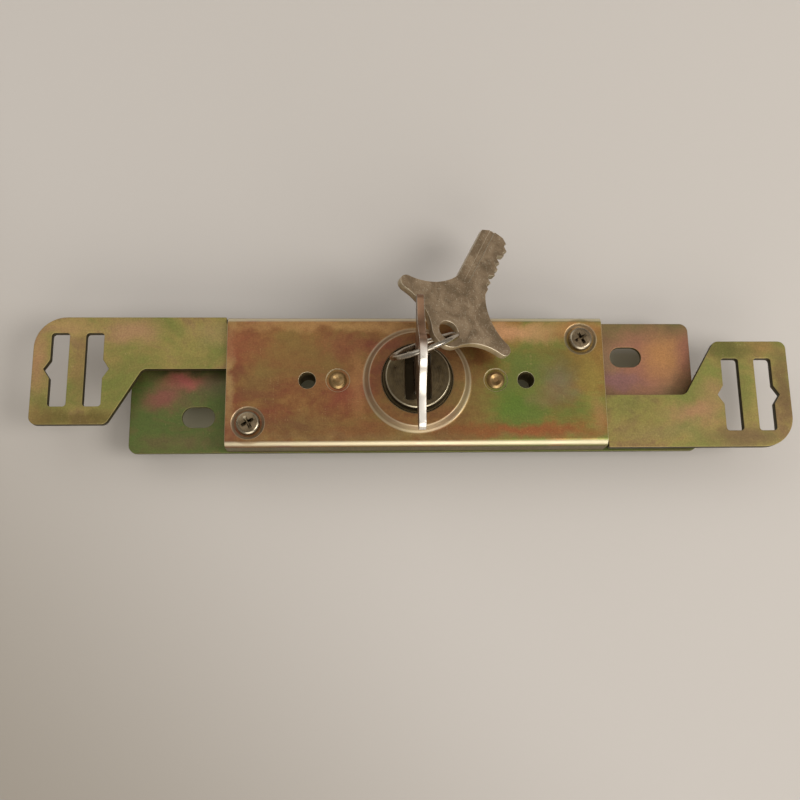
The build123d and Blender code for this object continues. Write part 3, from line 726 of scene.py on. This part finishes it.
# Finishes of the chromated pieces. A patch is (x, y, half length, half width, share, colour).
coverSteel = chromatedSteel("chromated cover steel", {
    "film": [(0.1, (124, 70, 46)), (0.4, (128, 84, 48)), (0.7, (136, 96, 54)), (1.0, (130, 102, 54))],
    "beyond": [(0.1, (142, 108, 54)), (0.4, (132, 118, 58)), (0.7, (114, 116, 52)), (1.0, (102, 112, 50))],
    "turnsAt": (12, 26), "offset": (31, 7, 0), "metallic": 0.62, "roughness": 0.38, "relief": 0.011,
    # rim: worn bright edges and partly a painted highlight along the bends, weaker at the dimples and the
    # collar
    "rim": (234, 222, 188), "rimShare": 0.75,
    "rimsWithLessHighlight": [((-42.3, -10.9, 8), 5.4, 0.45), ((42.3, 10.9, 8), 5.4, 0.45), ((0, 0, 8), 14.4, 0.5)],
    "rubbed": (176, 146, 96), "wallDark": (66, 54, 34), "wallLight": (128, 112, 74),
    "patches": [
        (0, 14.4, 60, 1.9, 0.75, (176, 136, 84)), (0, -14.6, 60, 1.4, 0.5, (138, 118, 74)),
        (-47.2, 2, 1.6, 16, 0.6, (172, 144, 92)), (-45.7, 9.3, 8, 5, 0.55, (138, 66, 50)),
        (-16.9, -3.8, 8, 5, 0.5, (142, 72, 54)), (-17.5, 8.8, 8, 4, 0.45, (134, 72, 54)),
        (-13.2, -12.8, 9, 3, 0.6, (128, 78, 48)), (11, -13.2, 8, 2.4, 0.7, (118, 78, 42)),
        (-40, -1, 7, 6, 0.45, (116, 98, 54)), (-30, -11.5, 12, 3.5, 0.5, (116, 98, 56)),
        (-30, 3, 9, 5, 0.3, (120, 78, 46)), (24, 12.2, 14, 3, 0.75, (204, 152, 110)),
        (41.5, 13.5, 6, 3, 0.5, (182, 116, 72)), (35.5, 3.5, 8, 7.5, 0.6, (94, 104, 46)),
        (24.5, -6.6, 9, 5, 0.75, (90, 116, 40)), (37, -8, 8, 5, 0.55, (94, 104, 42)),
        (36.5, -0.5, 5.5, 6, 0.75, (122, 106, 82)), (32, -5, 5, 3, 0.5, (126, 104, 74)),
        (-14.9, -1, 2.4, 9, 0.5, (176, 128, 80)), (14, -8, 6, 7, 0.5, (128, 112, 58)),
        (44.5, -1, 3.5, 10, 0.5, (146, 136, 64)), (46, -9, 2.5, 5, 0.6, (160, 116, 74)),
        (28, -13.2, 22, 2.2, 0.85, (146, 80, 46)), (2, 0, 12.6, 12.6, 0.5, (104, 88, 50)),
    ],
})
barLook = {
    "film": [(0.1, (136, 110, 70)), (0.4, (143, 126, 69)), (0.7, (135, 125, 66)), (1.0, (119, 121, 58))],
    "metallic": 0.6, "roughness": 0.44, "relief": 0.010, "rim": (182, 164, 112), "rimShare": 0.45,
    # the bars' near-black cut walls are painted shade
    "rubbed": (176, 158, 108), "wallDark": (34, 30, 16), "wallLight": (84, 74, 42),
}
leftBarSteel = chromatedSteel("chromated left bar steel", {
    **barLook, "offset": (3, 41, 0),
    "patches": [
        (-72, 13.2, 8, 4, 0.6, (174, 128, 100)), (-88, 14.5, 8, 3, 0.5, (180, 140, 96)),
        (-95.4, 4, 3.5, 9, 0.65, (172, 124, 92)), (-93, -8.5, 6, 4, 0.6, (124, 92, 54)),
        (-82, -9.5, 12, 3, 0.8, (100, 84, 38)), (-84, 4, 3, 10, 0.6, (136, 106, 66)),
        (-52, 13, 7, 4, 0.35, (166, 134, 98)), (-60, 9, 8, 5, 0.35, (142, 136, 70)),
    ],
})
rightBarSteel = chromatedSteel("chromated right bar steel", {
    **barLook, "offset": (77, 3, 0),
    "patches": [
        (54, -6.3, 9, 4.5, 0.6, (114, 120, 56)), (71.5, -8.4, 9, 3.6, 0.6, (170, 120, 94)),
        (77, -3, 5, 4, 0.45, (164, 122, 90)), (62, -13, 14, 3, 0.5, (132, 118, 74)),
        (84, -14.6, 12, 3.4, 0.8, (110, 84, 58)), (94.7, -3, 3, 13, 0.8, (104, 80, 52)),
        (90, 9.5, 5, 3, 0.45, (150, 108, 66)), (81, 9, 8, 3.4, 0.8, (92, 88, 40)),
        (83.5, -2, 3, 9, 0.5, (108, 108, 50)),
    ],
})
basePlateSteel = chromatedSteel("chromated base plate steel", {
    "film": [(0.1, (96, 90, 50)), (0.4, (90, 96, 46)), (0.7, (84, 98, 44)), (1.0, (98, 92, 50))],
    "offset": (12, 90, 0), "metallic": 0.55, "roughness": 0.46, "relief": 0.011,
    "rim": (150, 138, 88), "rimShare": 0.45,
    "rubbed": (150, 132, 90), "wallDark": (44, 42, 24), "wallLight": (104, 98, 58),
    "patches": [
        (-59.5, 1.6, 7, 3.2, 0.85, (164, 84, 80)), (-64.5, -3, 5.5, 3.6, 0.75, (138, 74, 70)),
        # the dark strip at y 5.2 is a painted shadow of the left bar on the plate
        (-58, 5.2, 12, 1.4, 0.6, (48, 40, 24)), (-51.5, 1, 4, 4, 0.4, (110, 94, 70)),
        (-56, -14, 10, 3, 0.35, (108, 90, 60)), (61, 6, 22, 14, 0.95, (158, 106, 84)),
        (66, 7.5, 6, 8, 0.7, (176, 128, 72)), (53.5, 1.5, 6, 2.6, 0.7, (136, 96, 98)),
        (50, 7, 4, 5, 0.45, (128, 112, 82)), (72, 10, 3, 8, 0.5, (150, 92, 76)),
        (60, -12, 20, 7, 0.9, (98, 100, 54)),
    ],
})

spareFlat = (-0.405228, -0.209991, -0.889772)  # the spare key's flat side
lockKeyNickel = nickelKey("worn nickel of the lock key", {
    "flatSide": (1, 0, 0), "dark": (84, 62, 44), "mid": (116, 92, 70), "light": (142, 120, 96),
    # the near-white wall below the axis is a painted highlight, wallUpper the darker tone above
    "grime": (60, 44, 32), "bare": (236, 228, 214), "wall": (246, 240, 230), "wallShare": 0.95,
    "wallUpper": (150, 116, 90), "upperFrom": (0, 5), "roughness": 0.32, "metallic": 0.85, "relief": 0.012,
})
spareKeyNickel = nickelKey("worn nickel of the spare key", {
    "flatSide": spareFlat, "dark": (132, 113, 88), "mid": (154, 132, 105), "light": (174, 152, 124),
    "grime": (84, 68, 50), "bare": (226, 216, 192), "wall": (196, 182, 150), "wallShare": 0.6,
    "wallUpper": (196, 182, 150), "upperFrom": (0, 5), "roughness": 0.38, "metallic": 0.7, "relief": 0.013,
})
plugMetal = turnedMetal("dark nickel of the plug", {
    "dark": (66, 54, 36), "light": (92, 78, 54), "bare": (196, 186, 160), "roughness": 0.34, "relief": 0.004,
    # the keyway below the face is painted shade
    "rimShare": 0.85, "ringShare": 0.12, "sunkBelow": 12.2, "recessShade": (46, 39, 28),
})
screwSteel = turnedMetal("nickelled screw steel", {
    "dark": (88, 74, 54), "light": (128, 110, 86), "bare": (216, 206, 182), "roughness": 0.28,
    "ringShare": 0.1, "relief": 0.004,
})
rivetSteel = turnedMetal("gilt rivet heads", {
    "dark": (112, 86, 54), "light": (146, 116, 78), "bare": (196, 168, 118), "roughness": 0.4,
    "ringShare": 0.1, "relief": 0.004,
})
ringWire = turnedMetal("bright ring wire", {
    "dark": (120, 110, 96), "light": (160, 150, 134), "bare": (210, 202, 188), "roughness": 0.24,
    "relief": 0.003,
})
machinedSteel = turnedMetal("machined steel", {
    "dark": (120, 118, 114), "light": (160, 158, 152), "bare": (206, 204, 198), "roughness": 0.32,
    "relief": 0.004,
})
castZinc = turnedMetal("nickelled cast zinc", {
    "dark": (112, 104, 92), "light": (150, 142, 128), "bare": (190, 182, 166), "roughness": 0.42,
    "relief": 0.014,
})
turnedBrass = turnedMetal("turned brass", {
    "dark": (150, 118, 58), "light": (188, 154, 84), "bare": (222, 196, 128), "roughness": 0.28,
    "relief": 0.003,
})
# the bush is painted dark as the shade in the gap around the plug
bushDarkAsShade = turnedMetal("brass bush painted dark as shade", {
    "dark": (44, 37, 25), "light": (64, 54, 37), "bare": (120, 106, 76), "roughness": 0.4, "relief": 0.003,
})
moldedNylon = turnedMetal("moulded nylon", {
    "dark": (34, 34, 36), "light": (48, 48, 50), "bare": (64, 64, 66), "roughness": 0.55, "relief": 0.008,
    "metallic": 0.0,
})
print("finishes ready")


# The case

cover = {
    "top": 8.0, "sheet": 1.2, "halfWidth": 16.9, "cutRound": 0.12,
    "dimpleAt": (42.3, 10.9), "dimpleZone": 4.5, "dimpleFloor": 7.1, "dimpleRound": 0.24,
    "collarZone": 14.0, "collarFoot": 13.5, "collarFootRound": 1.3, "collarShoulder": 12.2, "collarTop": 9.9,
    "collarShoulderRound": 0.75, "mouthRadius": 8.9, "mouthRound": 0.35, "blendRadius": 14.8,
    "collarSteps": 144,
}


def coverRoundAt(spot):
    # how wide the pressing tool left each crease; the collar's own and those inside stay
    slack = 0.05 - cover["sheet"]
    inside = spot.z < cover["top"] + slack and abs(spot.y) < cover["halfWidth"] + slack
    if inside or math.hypot(spot.x, spot.y) < cover["collarZone"]:
        return 0.0
    dimpleX, dimpleY = cover["dimpleAt"]
    for side in (-1, 1):
        away = math.hypot(spot.x - side * dimpleX, spot.y - side * dimpleY)
        if away < cover["dimpleZone"] and spot.z > cover["dimpleFloor"]:
            return cover["dimpleRound"]
    return cover["cutRound"]


def drawnCollar(build):
    # the collar's facets give way to a smooth collar that runs out into the flat sheet
    inZone = [vert for vert in build.verts if math.hypot(*vert.co.xy) < cover["collarZone"] * mm]
    bmesh.ops.delete(build, geom=inZone, context="VERTS")
    sheet, low, top, blend = cover["sheet"], cover["top"], cover["collarTop"], cover["blendRadius"]
    foot, shoulder, mouth = cover["collarFoot"], cover["collarShoulder"], cover["mouthRadius"]
    outside = [
        (blend, low, 0), (foot, low, cover["collarFootRound"]), (shoulder, top, cover["collarShoulderRound"]),
        (mouth, top, cover["mouthRound"]),
    ]
    inside = [
        (mouth, top - sheet, 0.1), (shoulder - sheet, top - sheet, 0.3), (foot - sheet, low - sheet, 0.4),
        (blend - sheet, low - sheet, 0),
    ]
    spun(build, roundedPath(outside + inside, 7), cover["collarSteps"])


widest = cover["dimpleRound"]
coverPlate = roundedCopy("cover_plate", "pressed_cover", widest, coverRoundAt, graft=drawnCollar)
dress(coverPlate, coverSteel, "case", "plated_steel_cover", "cover_plate")

plate = {"edgeRound": 0.16}
basePlate = roundedCopy("base_plate", "stamped_base_plate", plate["edgeRound"])
dress(basePlate, basePlateSteel, "case", "plated_steel_dark", "base_plate")

bars = {"edgeRound": 0.16}
for side, steel in (("left", leftBarSteel), ("right", rightBarSteel)):
    bar = roundedCopy(f"{side}_bar", f"{side}_slotted_bar", bars["edgeRound"])
    dress(bar, steel, f"{side}_bar", "plated_steel_bar", f"{side}_bar")
print("case and bars ready")


# Cover screws: pan heads with a cross recess

screw = {
    "along": 42.3, "across": 10.9,
    "headRadius": 3.05, "headTop": 9.0, "headSeat": 7.2, "headRound": 0.9, "seatRound": 0.12,
    "crownShare": 0.35, "crownDrop": 0.02, "brimDrop": 0.2,
    "shankRadius": 1.45, "shankEnd": 3.0, "chamfer": 0.4,
    "crossTurn": 30, "crossReach": 1.75, "crossHalfWidth": 0.42, "crossDepth": 1.35, "crossTaper": 0.35,
    "crossFlare": 1.1, "crossOver": 0.2, "crossSharp": 32,
}


def crossCutter():
    # the driver's tapering cross, as one solid
    reach, half = screw["crossReach"], screw["crossHalfWidth"]
    turn = Matrix.Rotation(math.radians(screw["crossTurn"]), 2)
    outline = []
    for k in range(4):
        for across, along in ((-half, half), (-half, reach), (half, reach)):
            outline.append(turn @ Matrix.Rotation(-math.pi / 2 * k, 2) @ Vector((across, along)))
    low = (screw["crossTaper"], screw["headTop"] - screw["crossDepth"])
    high = (screw["crossFlare"], screw["headTop"] + screw["crossOver"])
    build = bmesh.new()
    rings = []
    for share, height in (low, high):
        spots = [(spot.x * share * mm, spot.y * share * mm, height * mm) for spot in outline]
        rings.append([build.verts.new(spot) for spot in spots])
    for k in range(len(outline)):
        after = (k + 1) % len(outline)
        build.faces.new((rings[0][k], rings[0][after], rings[1][after], rings[1][k]))
    build.faces.new(rings[0])
    build.faces.new(rings[1])
    bmesh.ops.recalc_face_normals(build, faces=build.faces)
    return linked("driver cross", meshFrom(build, "driver cross"))


def screwPart():
    head, top, seat = screw["headRadius"], screw["headTop"], screw["headSeat"]
    shank, end, chamfer = screw["shankRadius"], screw["shankEnd"], screw["chamfer"]
    path = roundedPath([
        (0, top, 0), (head * screw["crownShare"], top - screw["crownDrop"], 0),
        (head, top - screw["brimDrop"], screw["headRound"]), (head, seat, screw["seatRound"]),
        (shank, seat, 0), (shank, end + chamfer, 0), (shank - chamfer, end, 0), (0, end, 0),
    ], 6)
    part = turnedPart("screw part", path)
    cutter = crossCutter()
    cut = part.modifiers.new("cross", "BOOLEAN")
    cut.operation = "DIFFERENCE"
    cut.object = cutter
    settle(part)
    bpy.data.objects.remove(cutter)
    part.data.shade_smooth()
    part.data.set_sharp_from_angle(angle=math.radians(screw["crossSharp"]))
    return part


pairOnAxis = pairTree()
coverScrews = growFrom(
    screwPart(), "cross_recess_screws", pairOnAxis, screw["along"], screw["across"], screwSteel
)
dress(coverScrews, screwSteel, "case", "screw_steel", "cover_screws")

# Guide posts, peened over in shallow seats on the cover, hollow where the punch struck

post = {
    "along": 20.0, "radius": 3.4, "foot": 1.2, "shoulder": 6.8, "edgeRound": 0.15, "neckRadius": 1.6,
    "seat": 7.75, "headRadius": 2.25, "headTop": 8.65, "headRound": 0.25, "headWall": 0.28,
    "punchRadius": 1.25, "punchDepth": 0.5, "punchRound": 0.5, "lip": 0.3, "lipRound": 0.35,
}


def postPart():
    radius, foot, shoulder, edge = post["radius"], post["foot"], post["shoulder"], post["edgeRound"]
    head, seat, top, neck = post["headRadius"], post["seat"], post["headTop"], post["neckRadius"]
    punch, hollow = post["punchRadius"], post["headTop"] - post["punchDepth"]
    path = roundedPath([
        (0, hollow, 0), (punch * 0.5, hollow, post["punchRound"]),
        (punch + post["lip"], top, post["lipRound"]), (head, seat + post["headWall"], post["headRound"]),
        (head, seat, 0), (neck, seat, 0), (neck, shoulder, 0), (radius, shoulder, edge), (radius, foot, edge),
        (0, foot, 0),
    ])
    return turnedPart("post part", path)


guidePosts = growFrom(postPart(), "riveted_guide_posts", pairOnAxis, post["along"], 0.0, rivetSteel)
dress(guidePosts, rivetSteel, "case", "screw_steel", "guide_posts")

fixingBushes = roundedCopy("fixing_bushes", "fixing_tubes", 0.2)
dress(fixingBushes, coverSteel, "case", "plated_steel_cover", "fixing_bushes")

# Rivets through the base plate and the body's flange, countersunk at both ends

rivet = {"radius": 0.9, "headRadius": 1.6, "headDepth": 0.7, "top": 4.3, "length": 27.2, "width": 23.2}


def rivetPart():
    radius, head, depth, top = rivet["radius"], rivet["headRadius"], rivet["headDepth"], rivet["top"]
    path = [(0, top), (head, top), (radius, top - depth), (radius, depth), (head, 0), (0, 0)]
    return turnedPart("rivet part", path, 36)


flangeRivets = growFrom(
    rivetPart(), "flange_rivets", cornersTree(), rivet["length"], rivet["width"], machinedSteel
)
dress(flangeRivets, machinedSteel, "case", "machined_steel", "body_rivets")
print("screws, posts and rivets ready")


# The cylinder: plug, bush, body and pins

for node, name, body, slotName, finish, edgeRound in (
    ("plug", "keyed_plug", "plug", "plug_metal", plugMetal, 0.14),
    ("front_collar", "collar_bush", "case", "plated_steel_cover", bushDarkAsShade, 0.12),
    ("cylinder_body", "cast_cylinder_body", "case", "body_metal", castZinc, 0.16),
    ("back_cap", "back_cap_disc", "case", "body_metal", castZinc, 0.08),
    ("screw_posts", "tapped_posts", "case", "machined_steel", machinedSteel, 0.12),
    ("bar_pads", "nylon_pads", "case", "pad_plastic", moldedNylon, 0.2),
    ("drive_gear", "bar_gear", "plug", "machined_steel", machinedSteel, 0.06),
):
    dress(roundedCopy(node, name, edgeRound), finish, body, slotName, node)

springs = {"wire": 0.15, "turns": 5.0, "count": 4}
springLow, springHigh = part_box("pin_springs")
wire = springs["wire"] * mm
coilRadius = (springHigh.x - springLow.x) / 2 - wire
pinSprings = grow("wound_pin_springs", woundSpringTree(), {
    "Coil Radius": coilRadius, "Wire Radius": wire, "Turns": springs["turns"],
    "Length": springHigh.y - springLow.y - 2 * wire,
    "Start": (0, springLow.y + wire, springLow.z + coilRadius + wire),
    "Pitch": (springHigh.z - springLow.z - 2 * coilRadius - 2 * wire) / (springs["count"] - 1),
    "Count": springs["count"], "Finish": machinedSteel,
})
dress(pinSprings, machinedSteel, "case", "machined_steel", "pin_springs")

hiddenFinishes = {
    "gear_key": machinedSteel, "stop_pin": machinedSteel, "rear_clip": machinedSteel,
    "chamber_strip": turnedBrass, "bottom_pins": turnedBrass, "driver_pins": turnedBrass,
}
for node, finish in hiddenFinishes.items():
    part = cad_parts[node]
    part.data.materials.clear()
    part.data.materials.append(finish)
print("cylinder ready")


# Keys and their ring

keys = {"edgeRound": 0.14, "creaseAngle": 20}
for node, name, body, finish, flatSide in (
    ("key_in_lock", "lock_key", "key", lockKeyNickel, (1, 0, 0)),
    ("spare_key", "hanging_spare_key", "spare", spareKeyNickel, spareFlat),
):
    piece = roundedCopy(node, name, keys["edgeRound"], creaseAngle=keys["creaseAngle"], flatSide=flatSide)
    dress(piece, finish, body, "key_nickel", node)

ring = {
    "radius": 8.2, "wire": 0.65, "gapDegrees": 3, "centre": (1.01598, 4.25752, 23.3882),
    "across": (0, -0.371391, 0.928477), "up": (0.941198, 0.313691, 0.125477),
    "side": (-0.337856, 0.87388, 0.349552),
}
keyRing = grow("bent_key_ring", wireRingTree(), {
    "Ring Radius": ring["radius"] * mm, "Wire Radius": ring["wire"] * mm,
    "Gap Angle": math.radians(ring["gapDegrees"]), "Finish": ringWire,
})
turn = Matrix((ring["across"], ring["up"], ring["side"])).transposed().to_4x4()
keyRing.data.transform(Matrix.Translation(Vector(ring["centre"]) * mm) @ turn)
dress(keyRing, ringWire, "ring", "screw_steel", "key_ring")
print("keys ready")


# Floor, light and camera

ground = {
    "height": -8.0, "halfSize": 1.5, "roughness": 0.85, "relief": 0.02,
    # far is painted shade on the side away from the window
    "near": (197, 191, 184), "nearDrift": (201, 195, 189), "far": (158, 150, 139),
    "farSide": (-0.7, -0.7, 0.0), "farFrom": (20.0, 165.0),
    # painted shade under the lock
    "shadeUnderLock": (164, 158, 134), "shadeUnderLockX": (64.0, 71.0), "shadeUnderLockY": (11.0, 15.0),
}


def floorFinish():
    # pale matt paper with a faint tooth, with painted shade that greys it away from the window
    material, tree, shader, place, normal = blankFinish("pale floor", 0.0, Roughness=ground["roughness"])
    drift = clouds(tree, place, 260.0, 2.0)
    near = mixed(tree, drift, ground["near"], ground["nearDrift"])
    away = vectored(tree, "DOT_PRODUCT", place, ground["farSide"])
    paper = mixed(tree, softStep(tree, away, *ground["farFrom"]), near, ground["far"])
    # painted shade on the floor under the lock, tinted by the plate's green
    offsets = axesOf(tree, vectored(tree, "ABSOLUTE", place))
    shadeUnderLockX = softStep(tree, offsets["X"], *ground["shadeUnderLockX"], 1.0, 0.0)
    shadeUnderLockY = softStep(tree, offsets["Y"], *ground["shadeUnderLockY"], 1.0, 0.0)
    paperShadedUnderLock = mixed(tree, times(tree, shadeUnderLockX, shadeUnderLockY), paper, ground["shadeUnderLock"])
    feedAll(tree, shader, Base_Color=paperShadedUnderLock)
    bumpInto(tree, shader, clouds(tree, place, 1.2, 3.0, 0.6), ground["relief"])
    return material


build = bmesh.new()
bmesh.ops.create_grid(build, x_segments=4, y_segments=4, size=ground["halfSize"])
bmesh.ops.translate(build, verts=build.verts, vec=(0, 0, ground["height"] * mm))
floor = linked("floor", meshFrom(build, "floor"))
floor.data.materials.append(floorFinish())


def softLamp(name, place, size, watts, colour):
    # an area lamp that faces the lock
    data = bpy.data.lights.new(name, "AREA")
    data.shape = "DISK"
    data.size = size
    data.energy = watts
    data.color = colour
    lamp = linked(name, data)
    lamp.location = place
    lamp.rotation_euler = (-Vector(place)).to_track_quat("-Z", "Y").to_euler()


softLamp("window light", (0.50, -0.17, 0.58), 0.38, 2.65, (1.0, 0.98, 0.955))
softLamp("room light", (-0.45, 0.5, 0.6), 0.8, 1.15, (0.96, 0.98, 1.0))

room = {
    "strength": 0.79, "walls": (150, 145, 139), "ceiling": (250, 246, 240),
    "upward": (0.05, 0.25, 0.967), "ceilingFrom": (0.55, 0.95),
    "paneSide": (0.16, -0.90, 0.40), "paneFrom": (0.86, 0.95), "paneLight": (3.3, 3.2, 3.0),
}


def roomWorld():
    # a plain room under a pale ceiling, with a window low at one side
    world = bpy.data.worlds.new("plain room")
    world.use_nodes = True
    tree = world.node_tree
    outward = put(tree, "ShaderNodeTexCoord").outputs["Generated"]
    ceiling = softStep(tree, vectored(tree, "DOT_PRODUCT", outward, room["upward"]), *room["ceilingFrom"])
    glow = mixed(tree, ceiling, room["walls"], room["ceiling"])
    pane = softStep(tree, vectored(tree, "DOT_PRODUCT", outward, room["paneSide"]), *room["paneFrom"])
    lit = mixed(tree, 1.0, glow, scaled(tree, room["paneLight"], pane), "ADD")
    feedAll(tree, tree.nodes["Background"], Color=lit, Strength=room["strength"])
    return world


scene.world = roomWorld()
scene.view_settings.view_transform = "Standard"

lens = {
    "focalPixels": 971.2, "centreX": 406, "centreY": 404, "picture": 800, "sensor": 36, "nearest": 0.01,
    "place": (-14.27, -63.42, 244.90), "turn": (0.237, -0.046, -0.009),
}
cameraData = bpy.data.cameras.new("camera")
cameraData.sensor_width = lens["sensor"]
cameraData.lens = lens["focalPixels"] * lens["sensor"] / lens["picture"]
cameraData.shift_x = 0.5 - lens["centreX"] / lens["picture"]
cameraData.shift_y = lens["centreY"] / lens["picture"] - 0.5
cameraData.clip_start = lens["nearest"]
camera = linked("camera", cameraData)
swing = Vector(lens["turn"])
standpoint = Matrix.Translation(Vector(lens["place"]) * mm)
camera.matrix_world = standpoint @ Matrix.Rotation(swing.length, 4, swing.normalized())
scene.camera = camera
print("stage ready")
